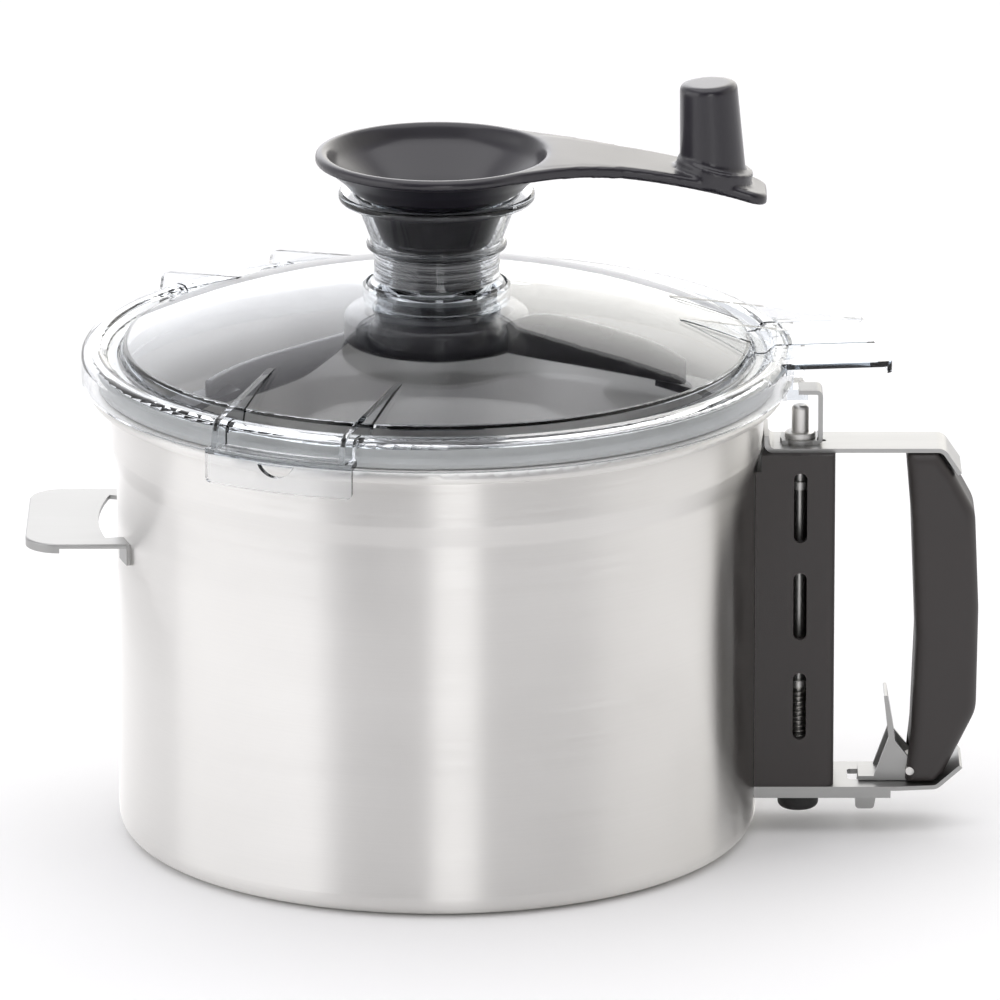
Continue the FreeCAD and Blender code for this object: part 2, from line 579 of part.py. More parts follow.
def make_release_lever():
    base = CHANNEL_Z + 0.3
    tooth_x = LEVER_TOOTH_X
    blade_foot_x = LEVER_PIN_X - 4.5
    blade_top_x = LEVER_PIN_X - 9.5
    top = CHANNEL_Z + LEVER_HEIGHT
    tooth = side_plate(
        [(tooth_x - 3.5, CHANNEL_Z - LEVER_TOOTH), (tooth_x + 3.5, CHANNEL_Z - LEVER_TOOTH),
         (tooth_x + 6.0, base + STRAP_T), (tooth_x - 2.5, base + STRAP_T)], 3.6, [1.5, 1.5, 0, 0])
    base_plate = side_plate(
        [(tooth_x - 2.5, base), (blade_foot_x + STRAP_T, base),
         (blade_foot_x + STRAP_T, base + STRAP_T), (tooth_x - 2.5, base + STRAP_T)], LEVER_HALF_W)
    blade = side_plate(
        [(blade_foot_x - 1.6, base), (blade_foot_x + STRAP_T, base),
         (blade_top_x + 1.0, top), (blade_top_x - 0.4, top)],
        LEVER_HALF_W, [0, 0, 0.4, 0.4])
    lever = tooth.fuse([base_plate, blade])
    ear_outline = [
        (blade_foot_x - 9.5, base), (LEVER_PIN_X + 0.6, base),
        (LEVER_PIN_X + 3.0, LEVER_PIN_Z),
        (LEVER_PIN_X + 0.5, LEVER_PIN_Z + 3.2), (blade_foot_x - 2.2, base + 17), (blade_foot_x - 3.4, base + 17),
    ]
    for side in (-1, 1):
        ear = side_plate(ear_outline, STRAP_T / 2, [1, 2, 2.4, 2.4, 0.5, 0.5])
        ear.translate(vec(0, side * (LEVER_HALF_W - STRAP_T / 2), 0))
        lever = lever.fuse(ear)
    lever = lever.removeSplitter()
    hole = Part.makeCylinder(LEVER_PIN_R + LEVER_FIT, 40, vec(LEVER_PIN_X, -20, LEVER_PIN_Z), vec(0, 1, 0))
    return lever.cut(hole)


def make_lever_pin():
    half = GRIP_DEPTH / 2 - 1.5
    return Part.makeCylinder(LEVER_PIN_R, 2 * half, vec(LEVER_PIN_X, -half, LEVER_PIN_Z), vec(0, 1, 0))


def make_lever_spring():
    half = LEVER_HALF_W - STRAP_T - 1.2
    start = vec(LEVER_PIN_X, -half, LEVER_PIN_Z)
    return coil(LEVER_PIN_R + 0.95, SPRING_WIRE_R, 1.3, 2 * half, start, vec(0, 1, 0))


# ---------------------------------------------------------------- lid
def make_lid_seal():
    """Soft ring: a web inside the bowl's mouth and a flange on its rim."""
    inner = PLUG_R + SEAL_GAP
    outer = BAND_INNER_R - SEAL_GAP
    flange_r = LID_R - LID_T - SEAL_GAP
    flange_z = BOWL_H + SEAL_GAP
    top = CHANNEL_FLOOR_Z - LID_T - SEAL_GAP
    profile = [
        (inner, BOWL_H - 5), (outer, BOWL_H - 5), (outer, flange_z + 0.8), (flange_r - 6, flange_z),
        (flange_r - 3.5, flange_z), (flange_r - 3.5, flange_z + 2.2), (outer + 1, flange_z + 3.0),
        (outer + 1, top), (inner, top),
    ]
    return turned(profile, [0.5, 0.5, 0, 0, 0.6, 0.6, 1.0, 0.6, 0.6])


def on_chord(radius, offset):
    """How far out a circle of this radius is crossed by a line offset from its centre."""
    return math.sqrt(radius ** 2 - offset ** 2)


def tab_rib(azimuth, offset, tip, tip_z, foot_r, foot_z):
    """Upright rib that leaves the dome in a point and runs out over the rim to its tip."""
    root = LID_R - TAB_RIB_REACH
    root_z = dome_z(math.hypot(root, offset))
    sunk = 1.0
    outline = [
        (root, root_z - sunk), (on_chord(LID_DOME_R, offset), DOME_EDGE_Z - sunk),
        (on_chord(LID_DOME_R + 2.0, offset), CHANNEL_FLOOR_Z - sunk),
        (on_chord(LID_R - 1.3, offset), CHANNEL_FLOOR_Z - sunk), (on_chord(LID_R - 1.3, offset), foot_z),
        (on_chord(foot_r, offset), foot_z), (tip, min(foot_z + 4.0, tip_z - 3.0)), (tip - 2.0, tip_z),
        (root, root_z + 0.2),
    ]
    rib = side_plate(outline, TAB_RIB_T / 2, [0, 0, 0, 0, 0, 0.6, 3.0, 3.5, 0])
    rib.translate(vec(0, offset, 0))
    return turn_about_z(rib, azimuth)


def guard_tab(azimuth):
    """Tab with two ribs and a curved guard that hangs outside the bowl's rim."""
    ledge_z = LID_Z + 2.0
    tip = on_chord(GUARD_R - 0.6, GUARD_SPACING / 2)
    pieces = []
    for side in (-1, 1):
        offset = side * GUARD_SPACING / 2
        pieces.append(tab_rib(azimuth, offset, tip, LID_TOP_Z + TAB_RIB_END_H, GUARD_R - 0.6, ledge_z))
    start = azimuth - GUARD_SWEEP_DEG / 2
    pieces.append(sector(LID_R - 0.5, GUARD_R - 0.8, ledge_z, ledge_z + GUARD_T, start, GUARD_SWEEP_DEG))
    low = LID_TOP_Z - GUARD_DEPTH
    guard = sector(GUARD_R - GUARD_T, GUARD_R, low, ledge_z + GUARD_T, start, GUARD_SWEEP_DEG)
    guard = round_edges(guard, GUARD_CORNER_R,
                        lambda e: e.BoundBox.ZMax < low + 0.1 and e.Length < 2 * GUARD_T)
    round_r = (GUARD_WINDOW_HALF_W ** 2 + GUARD_WINDOW_H ** 2) / (2 * GUARD_WINDOW_H)
    centre = vec(LID_R + 1.0, 0, ledge_z - 0.4 + round_r - GUARD_WINDOW_H)
    window = Part.makeCylinder(round_r, 2 * GUARD_OUT, centre, vec(1, 0, 0))
    window = window.common(box(LID_R, GUARD_R + 5, -20, 20, 0, ledge_z - 0.4))
    pieces.append(guard.cut(turn_about_z(window, azimuth)))
    return pieces


def handle_tab():
    """Flat tab that reaches out over the handle: a plate with a bent lip and two long ribs."""
    tip = COLUMN_X + HANDLE_TAB_REACH
    inner = on_chord(LID_R - 8, HANDLE_TAB_NEAR)
    outline = [(inner, -HANDLE_TAB_NEAR), (tip - 1.0, -HANDLE_TAB_NEAR),
               (tip, HANDLE_TAB_FAR), (inner, HANDLE_TAB_FAR)]
    corners = [0, 2.5, 13, 0]
    low = LID_TOP_Z - HANDLE_TAB_LIP
    plate = flat_plate(outline, low, HANDLE_TAB_LIP, corners)
    wall = 1.8
    hollow = [(inner - 5, -HANDLE_TAB_NEAR + wall), (tip - 1.0 - wall, -HANDLE_TAB_NEAR + wall),
              (tip - wall, HANDLE_TAB_FAR - wall), (inner - 5, HANDLE_TAB_FAR - wall)]
    plate = plate.cut(flat_plate(hollow, low - 1, HANDLE_TAB_LIP - HANDLE_TAB_T + 1, [0, 2, 11.5, 0]))
    plate = plate.cut(cylinder(LID_R - 1.6, LID_Z - 5, LID_TOP_Z + 5))
    pieces = [turn_about_z(plate, HANDLE_TAB_DEG)]
    for side in (-1, 1):
        offset = side * HANDLE_TAB_SPACING / 2
        foot = tab_rib(HANDLE_TAB_DEG, offset, LID_R + 5.0, LID_TOP_Z - 1.0, LID_R + 4.0, LID_Z + 2.0)
        fin_root = LID_R - TAB_RIB_REACH
        fin = side_plate(
            [(fin_root, dome_z(math.hypot(fin_root, offset)) - 1.0),
             (on_chord(LID_DOME_R, offset), DOME_EDGE_Z - 1.0),
             (on_chord(LID_DOME_R + 2.0, offset), CHANNEL_FLOOR_Z - 1.0),
             (on_chord(LID_R - 1.3, offset), CHANNEL_FLOOR_Z - 1.0), (LID_R + 1.0, LID_TOP_Z - 1.0),
             (tip - 3.0, LID_TOP_Z - 1.0), (tip - 5.0, LID_TOP_Z + 0.9),
             (fin_root, dome_z(math.hypot(fin_root, offset)) + 0.2)],
            TAB_RIB_T / 2, [0, 0, 0, 0, 0, 0, 2.5, 0])
        fin.translate(vec(0, offset, 0))
        pieces += [foot, turn_about_z(fin, HANDLE_TAB_DEG)]
    return pieces


def make_lid_shell():
    plug_in = PLUG_R - LID_T
    rim_in = LID_R - LID_T
    skirt = [
        (rim_in, LID_Z), (LID_R, LID_Z), (LID_R, LID_TOP_Z), (LID_R - 7.0, LID_TOP_Z),
        (LID_R - 10.0, CHANNEL_FLOOR_Z), (LID_DOME_R + 2.2, CHANNEL_FLOOR_Z), (LID_DOME_R + 0.6, DOME_EDGE_Z),
        (LID_DOME_R - 1.0, DOME_EDGE_Z + 0.2), (LID_DOME_R - 1.6, DOME_EDGE_Z - LID_T),
        (LID_DOME_R - 1.0, CHANNEL_FLOOR_Z - LID_T), (plug_in, CHANNEL_FLOOR_Z - LID_T),
        (plug_in, LID_TOP_Z - LID_PLUG_DEPTH), (PLUG_R, LID_TOP_Z - LID_PLUG_DEPTH),
        (PLUG_R, CHANNEL_FLOOR_Z - LID_T), (LID_R - 9.0, CHANNEL_FLOOR_Z - LID_T),
        (LID_R - 6.2, LID_TOP_Z - LID_T), (rim_in, LID_TOP_Z - LID_T),
    ]
    rim = turned(skirt, [0, 0, 4.0, 1.5, 1.5, 1.2, 0.8, 0, 0, 0, 0, 0.6, 0.6, 0, 1.0, 1.0, 1.2])
    outer_ball = Part.makeSphere(DOME_SPHERE_R, vec(0, 0, DOME_CENTRE_Z))
    inner_ball = Part.makeSphere(DOME_SPHERE_R - LID_T, vec(0, 0, DOME_CENTRE_Z))
    dome = outer_ball.common(cylinder(LID_DOME_R, CHANNEL_FLOOR_Z - LID_T, NECK_Z + 10)).cut(inner_ball)
    neck = [
        (NECK_R - NECK_T, NECK_Z - 9), (NECK_SKIRT_R, NECK_Z - 9), (NECK_SKIRT_R, NECK_Z - 1.5),
        (NECK_R + 4.0, NECK_Z + 0.6), (NECK_R, NECK_Z + 1.5), (NECK_R, NECK_Z + COLLAR_SLEEVE_H - 2),
        (NECK_R - NECK_T, NECK_Z + COLLAR_SLEEVE_H - 2),
    ]
    neck = turned(neck, [0.5, 1.5, 2.0, 1.0, 0.6, 0.5, 0.5])
    lid = rim.fuse(dome)
    lid = lid.cut(cylinder(NECK_SKIRT_R - 1.0, NECK_Z - 20, NECK_Z + 20))
    lid = lid.fuse(neck)
    extras = guard_tab(FRONT_TAB_DEG) + guard_tab(BACK_TAB_DEG) + handle_tab()
    extras.append(make_press_foot())
    return lid.fuse(extras).removeSplitter()


def make_press_foot():
    """Foot below the rim. Its sloped sole presses the rod down as the lid turns."""
    inner = RIM_R + 0.7
    outer = ROD_X + ROD_R
    turn = ROD_X * math.radians(LOCK_DEG)
    slope = ROD_TRAVEL / turn
    sole_z = ROD_TOP_Z - ROD_TRAVEL + slope * ROD_R + FOOT_CLEAR
    half = 8.0
    top = TOP_STRAP_Z + HOOK_HEIGHT - STRAP_T - 2.0
    points = [vec(inner, -half, sole_z + slope * half), vec(inner, half, sole_z - slope * half),
              vec(inner, half, top), vec(inner, -half, top)]
    foot = Part.Face(rounded_wire(points, [1.0, 1.0, 0, 0])).extrude(vec(outer - inner, 0, 0))
    foot = foot.cut(cylinder(inner, 0, LID_TOP_Z))
    half_deg = math.degrees(half / inner)
    stem = sector(inner, inner + LID_T, top - 3, LID_Z + 3, -half_deg, 2 * half_deg)
    return turn_about_z(foot.fuse(stem), LOCK_DEG)


def make_neck_collar():
    inner = NECK_R + 0.05
    outer = inner + COLLAR_T
    low = NECK_Z + 2.0
    flare_z = NECK_Z + COLLAR_SLEEVE_H
    lip_z = flare_z + COLLAR_FLARE_H
    throat = inner - 0.05
    cone_r = outer + COLLAR_FLARE_OUT
    grooves = []
    for z in (low + 4.0, low + 7.5, low + 11.0):
        grooves.append(Part.makeTorus(outer + 0.2, 0.8, vec(0, 0, z)))
    profile = [
        (inner, low), (outer, low), (outer, flare_z - 1.2), (outer + 2.6, flare_z - 1.2),
        (outer + 2.6, flare_z + 1.2), (outer + 0.6, flare_z + 1.2), (cone_r, lip_z),
        (COLLAR_LIP_R, lip_z), (COLLAR_LIP_R, lip_z + COLLAR_LIP_T),
        (cone_r - 0.4, lip_z + COLLAR_LIP_T), (throat + 0.9, flare_z + 1.2), (inner, flare_z - 2),
    ]
    radii = [0.4, 0.6, 0.6, 1.0, 1.0, 1.0, 1.2, 1.4, 1.4, 1.0, 2.0, 0.4]
    collar = turned(profile, radii)
    return collar.cut(Part.makeCompound(grooves)).removeSplitter()


def make_neck_seal():
    low = NECK_Z - 6.0
    return tube(NECK_R - NECK_T - 0.1, STEM_R + 0.5, low, low + 3.0)


# ---------------------------------------------------------------- crank and wiper
def arm_height(x):
    """Height of the arm's top face, falling from the funnel's rim to the tip."""
    share = (x - FUNNEL_R) / (ARM_REACH - FUNNEL_R)
    return FUNNEL_Z - ARM_DROOP * (0.22 * share + 0.78 * share ** 2)


def make_crank_handle():
    stem_low = HUB_Z + 1.0
    lip_z = COLLAR_TOP_Z
    clear = CRANK_CLEAR
    flare_z = NECK_Z + COLLAR_SLEEVE_H
    collar_in = NECK_R + 0.9
    cone_r = COLLAR_CONE_R - 0.35
    outer = [
        (STEM_R, stem_low), (STEM_R, flare_z - 1), (collar_in - clear, flare_z + 2),
        (cone_r - clear - 0.8, lip_z), (cone_r + 2.0, lip_z + clear), (FUNNEL_R - 9.0, lip_z + 5.5),
        (FUNNEL_R - 2.0, FUNNEL_Z - FUNNEL_LIP), (FUNNEL_R, FUNNEL_Z - FUNNEL_LIP), (FUNNEL_R, FUNNEL_Z),
        (FUNNEL_R - FUNNEL_LIP, FUNNEL_Z), (FUNNEL_R - FUNNEL_LIP - 3.0, FUNNEL_Z - 6.0),
        (STEM_R - STEM_T + 9.0, lip_z - 3.0), (STEM_R - STEM_T, flare_z - 2), (STEM_R - STEM_T, stem_low),
    ]
    radii = [0.6, 4, 3, 1.5, 3, 8, 1.0, 1.6, 2.0, 2.0, 6, 14, 10, 0.6]
    funnel = turned(outer, radii)
    crank = funnel.fuse([make_crank_arm(lip_z), make_knob()])
    return crank.removeSplitter()


def make_crank_arm(lip_z):
    """Arm that grows out of the funnel's rim and droops to its rounded tip."""
    spans = 6
    root_x = FUNNEL_R - FUNNEL_LIP - 2.5
    top = [vec(root_x, 0, arm_height(FUNNEL_R))]
    top += [vec(x, 0, arm_height(x)) for x in
            [FUNNEL_R + (ARM_REACH - FUNNEL_R) * i / spans for i in range(spans + 1)]]
    bottom = [point - vec(0, 0, ARM_T) for point in top]
    top_curve = Part.BSplineCurve()
    top_curve.interpolate(top)
    bottom_curve = Part.BSplineCurve()
    bottom_curve.interpolate(bottom[::-1])
    side = Part.Wire([top_curve.toShape(), Part.LineSegment(top[-1], bottom[-1]).toShape(),
                      bottom_curve.toShape(), Part.LineSegment(bottom[0], top[0]).toShape()])
    slab = Part.Face(side)
    slab.translate(vec(0, -FUNNEL_R, 0))
    slab = slab.extrude(vec(0, 2 * FUNNEL_R, 0))
    tip_r = ARM_TIP_W / 2
    tip_x = ARM_REACH - tip_r
    join_x = 0.83 * FUNNEL_R
    join_y = on_chord(FUNNEL_R, join_x)
    neck_x = FUNNEL_R + 12
    neck_y = ARM_NECK_W / 2
    near = [(root_x - 8, -join_y), (join_x, -join_y), (neck_x, -neck_y), (tip_x, -tip_r), (ARM_REACH, -tip_r)]
    plan = near + [(x, -y) for x, y in near[::-1]]
    radii = [0, 0, 26, 20, tip_r - 1]
    arm = slab.common(flat_plate(plan, 0, 2 * FUNNEL_Z, radii + radii[::-1]))
    arm = round_edges(arm, 1.3, lambda e: e.CenterOfMass.x > FUNNEL_R + 3)
    return arm.cut(cylinder(FUNNEL_R - FUNNEL_LIP, lip_z + 4, FUNNEL_Z + 10))


def make_knob():
    low = arm_height(KNOB_X) - ARM_T / 2
    top = arm_height(KNOB_X) + KNOB_H - 2
    knob = Part.makeCone(KNOB_R, KNOB_TOP_R, top - low, vec(KNOB_X, 0, low))
    knob = round_edges(knob, 2.2, lambda e: e.BoundBox.ZMin > top - 0.1)
    knob.rotate(vec(KNOB_X, 0, low), vec(0, -1, 0), KNOB_LEAN_DEG)
    ring_top = arm_height(KNOB_X - KNOB_R) + KNOB_RING_H - 1.0
    ring = cylinder(KNOB_R + KNOB_RING_OUT, low - 0.5, ring_top, KNOB_X)
    tilt = math.degrees(math.atan2(arm_height(KNOB_X - KNOB_R) - arm_height(KNOB_X + KNOB_R), 2 * KNOB_R))
    ring.rotate(vec(KNOB_X, 0, arm_height(KNOB_X)), vec(0, 1, 0), tilt)
    ring = ring.common(cylinder(ARM_TIP_W, low - 0.5, ring_top + KNOB_RING_H, KNOB_X))
    return knob.fuse(ring)


def make_wiper_hub():
    """Flanged hub on the crank's stem, under the lid's neck."""
    inner = STEM_R + 0.05
    profile = [
        (inner, HUB_Z), (WIPER_HUB_R, HUB_Z), (WIPER_HUB_R, HUB_TOP_Z - 2.5),
        (WIPER_HUB_R - 5, HUB_TOP_Z - 0.5), (inner, HUB_TOP_Z - 0.5),
    ]
    return turned(profile, [0.5, 2, 3, 2, 0.5])


def make_hub_ring():
    """Ring that holds the wiper on the stem from below."""
    return tube(STEM_R + 5, STEM_R - STEM_T + 0.4, HUB_Z - 3.2, HUB_Z - 0.05)


def wiper_arm(start, middle, end):
    """Flat bent arm from the hub to the scraper, under the dome."""
    half = WIPER_BLADE_W / 2
    points = [vec(x, y, 0) for x, y in (start, middle, end)]
    left = []
    right = []
    for i, point in enumerate(points):
        ahead = points[min(i + 1, 2)] - points[max(i - 1, 0)]
        across = vec(-ahead.y, ahead.x, 0).normalize()
        width = half * (1.0, 0.9, 0.7)[i]
        left.append(point + across * width)
        right.append(point - across * width)
    outline = [(p.x, p.y) for p in left + right[::-1]]
    slab = flat_plate(outline, HUB_Z - 60, 90, [0, 20, 3, 3, 20, 0])
    arm = slab.common(arm_dish(0)).cut(arm_dish(WIPER_T))
    return arm.cut(cylinder(WIPER_HUB_R, 0, 2 * HUB_Z))


def arm_dish(depth):
    """Ball whose top is the wiper arms' upper face, or lies a depth below it."""
    return Part.makeSphere(WIPER_DISH_R - depth, vec(0, 0, HUB_Z + 5.0 - WIPER_DISH_R))


def make_wiper_arm(side):
    """side is +1 for the arm near the handle and -1 for the one opposite."""
    root = polar(WIPER_HUB_R - 5.0, 15.0 if side > 0 else 172.0)
    elbow = polar(0.58 * WIPER_R, -16.5 if side > 0 else 209.0)
    return wiper_arm(root, elbow, polar(0.85 * WIPER_R, SCRAPER_DEG[side]))


def polar(radius, degrees):
    return radius * math.cos(math.radians(degrees)), radius * math.sin(math.radians(degrees))


def make_scraper(side):
    """Upright blade at an arm's end that wipes the bowl's wall."""
    outer = WIPER_R
    azimuth = SCRAPER_DEG[side]
    top = HUB_Z
    blade = sector(outer - 9, outer, BLADE_HIGH_Z + 30, top, azimuth - 1.2, 2.4)
    foot = sector(0.76 * outer, outer, top - 15, top, azimuth - 4, 8)
    foot = foot.common(arm_dish(WIPER_T)).cut(arm_dish(2 * WIPER_T))
    return blade.common(arm_dish(WIPER_T)).fuse(foot).removeSplitter()


# ---------------------------------------------------------------- knife
def make_knife_hub():
    low = SHEET + SLEEVE_FLANGE_T + KNIFE_BASE_GAP
    top = low + KNIFE_HUB_H
    profile = [
        (KNIFE_BORE_R, low), (KNIFE_R + 3, low), (KNIFE_R + 3, low + 4), (KNIFE_R, low + 4.8),
        (KNIFE_R, top - 20), (KNIFE_R - 2, top), (KNIFE_BORE_R, top),
    ]
    return turned(profile, [0.5, 1, 1, 0.4, 6, 2, 0.5])


def make_knife_cap():
    low = SHEET + SLEEVE_FLANGE_T + KNIFE_BASE_GAP + KNIFE_HUB_H
    profile = [(0, low), (KNIFE_R - 2, low), (KNIFE_R + 2.5, low + 9), (KNIFE_R - 1, low + 15), (0, low + 17)]
    cap = turned(profile, [0, 1, 4, 4, 0])
    for i in range(6):
        x, y = polar(KNIFE_R + 6, 60 * i)
        scallop = cylinder(5, low - 1, low + 20, x, y)
        cap = cap.cut(scallop)
    return cap


def make_drive_insert():
    """Steel bush above the sleeve that takes the machine's shaft."""
    low = SLEEVE_H + 2.0
    top = SHEET + SLEEVE_FLANGE_T + KNIFE_BASE_GAP + KNIFE_HUB_H
    bush = cylinder(KNIFE_BORE_R, low, top - 0.05)
    slot = cylinder(SLEEVE_BORE_R - 2.0, low - 1, top - 4)
    flat = box(-20, 20, SLEEVE_BORE_R - 3.5, 20, low - 1, top - 4)
    return bush.cut(slot.cut(flat))


def knife_blade(z, reach, droop, phase):
    """Two curved blades on one ring round the hub."""
    ring = tube(KNIFE_R + 5, KNIFE_R, z, z + BLADE_T)
    blade = ring
    for turn in (0, 180):
        outline = [(KNIFE_R - 1, -10), (reach * 0.55, -13), (reach, 6), (reach * 0.97, 14), (reach * 0.5, 9),
                   (KNIFE_R - 1, 11)]
        wing = flat_plate(outline, z, BLADE_T, [0, 40, 3, 8, 60, 0])
        wing.rotate(vec(KNIFE_R, 0, z), vec(0, 1, 0), droop)
        edge = [(KNIFE_R + 14, -30), (reach + 5, -30), (reach + 5, 2), (KNIFE_R + 14, -9.5)]
        bevel = flat_plate(edge, z + 1, 6)
        bevel.rotate(vec(KNIFE_R, 0, z), vec(0, 1, 0), droop)
        wing = wing.cut(bevel).cut(cylinder(KNIFE_R, 0, KNIFE_HUB_H))
        blade = blade.fuse(turn_about_z(wing, turn + phase))
    return blade.removeSplitter()


def make_parts():
    parts = {
        "bowl_shell": make_bowl_shell(),
        "shaft_sleeve": make_shaft_sleeve(),
        "left_lug": make_lug(),
        "top_bracket": make_top_bracket(),
        "bottom_bracket": make_bottom_bracket(),
        "rod_housing": make_rod_housing(),
        "handle_grip": make_grip(),
        "grip_screw": make_grip_screw(),
        "guide_bush": make_guide_bush(),
        "bush_nut": make_bush_nut(),
        "lower_bush": make_lower_bush(),
        "lid_hook": make_lid_hook(),
        "lever_pin": make_lever_pin(),
        "interlock_rod": make_interlock_rod(),
        "rod_collar": make_rod_collar(),
        "spring_seat": make_spring_seat(),
        "rod_foot": make_rod_foot(),
        "rod_magnet": make_magnet(),
        "return_spring": make_return_spring(),
        "release_lever": make_release_lever(),
        "lever_spring": make_lever_spring(),
        "lid_seal": make_lid_seal(),
        "lid_shell": make_lid_shell(),
        "neck_collar": make_neck_collar(),
        "neck_seal": make_neck_seal(),
        "crank_handle": make_crank_handle(),
        "wiper_hub": make_wiper_hub(),
        "hub_ring": make_hub_ring(),
        "wiper_arm_right": make_wiper_arm(1),
        "wiper_arm_left": make_wiper_arm(-1),
        "scraper_right": make_scraper(1),
        "scraper_left": make_scraper(-1),
        "knife_hub": make_knife_hub(),
        "knife_cap": make_knife_cap(),
        "drive_insert": make_drive_insert(),
        "knife_blade_lower": knife_blade(BLADE_LOW_Z, BLADE_REACH, 0, 0),
        "knife_blade_upper": knife_blade(BLADE_HIGH_Z, BLADE_REACH - 6, -4, 90),
    }
    return parts


os.makedirs("parts", exist_ok=True)
for name, shape in make_parts().items():
    if not shape.isValid() or shape.Volume <= 0:
        raise ValueError(name + " is not a valid solid")
    shape.exportStep("parts/" + name + ".step")
    print(name, len(shape.Solids), round(shape.Volume, 1))
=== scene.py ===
import json
import math

import bmesh
import bpy
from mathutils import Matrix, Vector


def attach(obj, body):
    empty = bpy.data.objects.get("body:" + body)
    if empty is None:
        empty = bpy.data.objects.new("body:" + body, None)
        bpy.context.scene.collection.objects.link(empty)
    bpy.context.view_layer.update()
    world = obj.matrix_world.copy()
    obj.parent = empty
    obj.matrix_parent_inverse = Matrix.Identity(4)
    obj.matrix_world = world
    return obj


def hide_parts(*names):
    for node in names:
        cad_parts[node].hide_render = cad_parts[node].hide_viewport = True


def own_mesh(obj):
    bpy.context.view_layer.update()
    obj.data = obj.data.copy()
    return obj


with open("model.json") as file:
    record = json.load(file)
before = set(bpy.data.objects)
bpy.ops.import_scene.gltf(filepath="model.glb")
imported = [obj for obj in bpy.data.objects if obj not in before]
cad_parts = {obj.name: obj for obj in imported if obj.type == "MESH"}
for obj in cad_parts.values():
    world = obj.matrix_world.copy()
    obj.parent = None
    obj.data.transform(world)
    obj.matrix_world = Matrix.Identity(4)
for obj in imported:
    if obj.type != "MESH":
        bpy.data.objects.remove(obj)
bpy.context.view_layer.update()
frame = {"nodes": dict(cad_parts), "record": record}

bl_info = {
    "name": "Cutter Mixer Bowl",
    "version": (1, 0, 0),
    "blender": (4, 5, 0),
    "location": "3D View > Sidebar > Mixer Bowl",
    "description": "Finishes and detailed pieces for a cutter-mixer bowl with a crank lid",
    "category": "Object",
}

NODES = frame["nodes"]
MM = 0.001


# ------------------------------------------------------------------ settings
class MIXER_PG_stage(bpy.types.PropertyGroup):
    """Camera and lights"""
    distance: bpy.props.FloatProperty(
        name="Distance", description="Camera distance from the bowl", default=5.0, min=1.0, unit="LENGTH")
    elevation: bpy.props.FloatProperty(
        name="Elevation", description="Camera angle above the horizon",
        default=math.radians(16.3), subtype="ANGLE")
    lens: bpy.props.FloatProperty(
        name="Lens", description="Focal length in millimetres", default=480.0, min=20.0)
    target: bpy.props.FloatVectorProperty(
        name="Target", description="Point the camera looks at",
        default=(0.0236, 0.0, 0.1262), subtype="TRANSLATION")
    surround: bpy.props.FloatProperty(
        name="Surround", description="Brightness of the light tent", default=1.0, min=0.0)
    left_power: bpy.props.FloatProperty(
        name="Left softbox", description="Power of the softbox on the left in watts", default=18.0, min=0.0)
    overhead_power: bpy.props.FloatProperty(
        name="Overhead softbox", description="Power of the softbox straight above in watts",
        default=58.0, min=0.0)
    strip_power: bpy.props.FloatProperty(
        name="Front strip", description="Power of the tall strip in front in watts", default=31.0, min=0.0)


class MIXER_PG_finish(bpy.types.PropertyGroup):
    """Colours of the finishes"""
    steel: bpy.props.FloatVectorProperty(
        name="Bowl steel", description="Colour of the brushed bowl",
        default=(0.88, 0.867, 0.845), subtype="COLOR")
    bracket: bpy.props.FloatVectorProperty(
        name="Bracket steel", description="Colour of the bent steel parts",
        default=(0.4, 0.4, 0.395), subtype="COLOR")
    crank: bpy.props.FloatVectorProperty(
        name="Crank", description="Colour of the crank and wiper",
        default=(0.013, 0.011, 0.017), subtype="COLOR")
    handle: bpy.props.FloatVectorProperty(
        name="Handle", description="Colour of the grip and column",
        default=(0.038, 0.033, 0.032), subtype="COLOR")
    clear: bpy.props.FloatVectorProperty(
        name="Clear", description="Tint of the clear plastic", default=(0.975, 0.98, 0.986), subtype="COLOR")


# ------------------------------------------------------------------ material helpers
def node(tree, kind, inputs=None, **settings):
    """A shader node with its settings, its inputs set or linked."""
    made = tree.nodes.new(kind)
    for key, value in settings.items():
        setattr(made, key, value)
    for key, value in (inputs or {}).items():
        socket = made.inputs[key]
        if isinstance(value, bpy.types.NodeSocket):
            tree.links.new(value, socket)
        else:
            socket.default_value = value
    return made


def start_material(name, colour, roughness, metallic=0.0, **sockets):
    """A material with one Principled shader, its even values set on its own sockets."""
    material = bpy.data.materials.new(name)
    material.use_nodes = True
    tree = material.node_tree
    shader = tree.nodes["Principled BSDF"]
    shader.inputs["Base Color"].default_value = (*colour, 1.0)
    shader.inputs["Roughness"].default_value = roughness
    shader.inputs["Metallic"].default_value = metallic
    for key, value in sockets.items():
        shader.inputs[key.replace("_", " ")].default_value = value
    return material, tree, shader


def scaled_place(tree, scale):
    """Object coordinates times a scale along each axis."""
    place = node(tree, "ShaderNodeTexCoord").outputs["Object"]
    return node(tree, "ShaderNodeMapping", {"Vector": place, "Scale": scale}).outputs["Vector"]


def noise(tree, scale, detail=2.0, roughness=0.5):
    place = scaled_place(tree, scale)
    made = node(tree, "ShaderNodeTexNoise", {
        "Vector": place, "Scale": 1.0, "Detail": detail, "Roughness": roughness})
    return made.outputs["Fac"]


def remap(tree, value, low, high, from_low=0.3, from_high=0.7):
    made = node(tree, "ShaderNodeMapRange", {
        "Value": value, "From Min": from_low, "From Max": from_high, "To Min": low, "To Max": high})
    return made.outputs["Result"]


def tint(tree, factor, dark, light):
    made = node(tree, "ShaderNodeMix", data_type="RGBA")
    tree.links.new(factor, made.inputs["Factor"])
    made.inputs["A"].default_value = (*dark, 1.0)
    made.inputs["B"].default_value = (*light, 1.0)
    return made.outputs["Result"]


